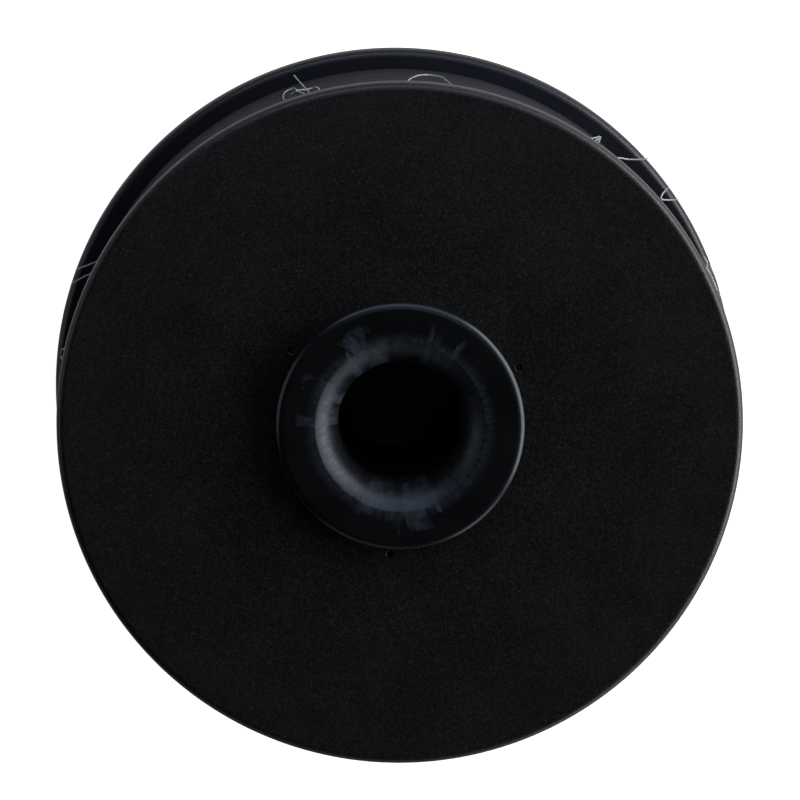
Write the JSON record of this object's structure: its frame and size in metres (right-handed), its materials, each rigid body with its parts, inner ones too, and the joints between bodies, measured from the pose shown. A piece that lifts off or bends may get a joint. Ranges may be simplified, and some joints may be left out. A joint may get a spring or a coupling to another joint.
{
  "type": "string reel",
  "caption": "Two-flange spool full of wound racket string, with raised hub bushes around a through bore for a spindle.",
  "frame": {"origin": "centre of the end face of the rear hub bush, which the reel stands on", "axes": "+Z along the bore axis from the rear bush to the front one; +Y is the side of the groove that the picture shows at its top"},
  "size_m": [0.13, 0.13, 0.067],
  "materials": {
    "flange_plastic": "spark-textured matte black",
    "hub_plastic": "smooth satin black, scuffed at the mouth",
    "core_plastic": "plain matte black",
    "string": "smooth extruded polyester, satin black",
    "filament": "pale translucent fibre"
  },
  "bodies": {
    "root": {"front_flange": "flange_plastic", "rear_flange": "flange_plastic", "front_hub_bush": "hub_plastic", "rear_hub_bush": "hub_plastic", "barrel": "core_plastic", "arbor_tube": "core_plastic", "wound_string": "string", "string_inner_end": "string", "filament_curl": "filament", "filament_cross": "filament", "filament_stub": "filament", "filament_arc": "filament", "filament_tuft": "filament", "filament_tuft_inner": "filament", "filament_line": "filament", "filament_kink": "filament", "filament_right_upper": "filament", "filament_right_lower": "filament", "filament_left_upper": "filament", "filament_left_lower": "filament", "filament_loop": "filament", "filament_edge": "filament"}
  },
  "joints": []
}
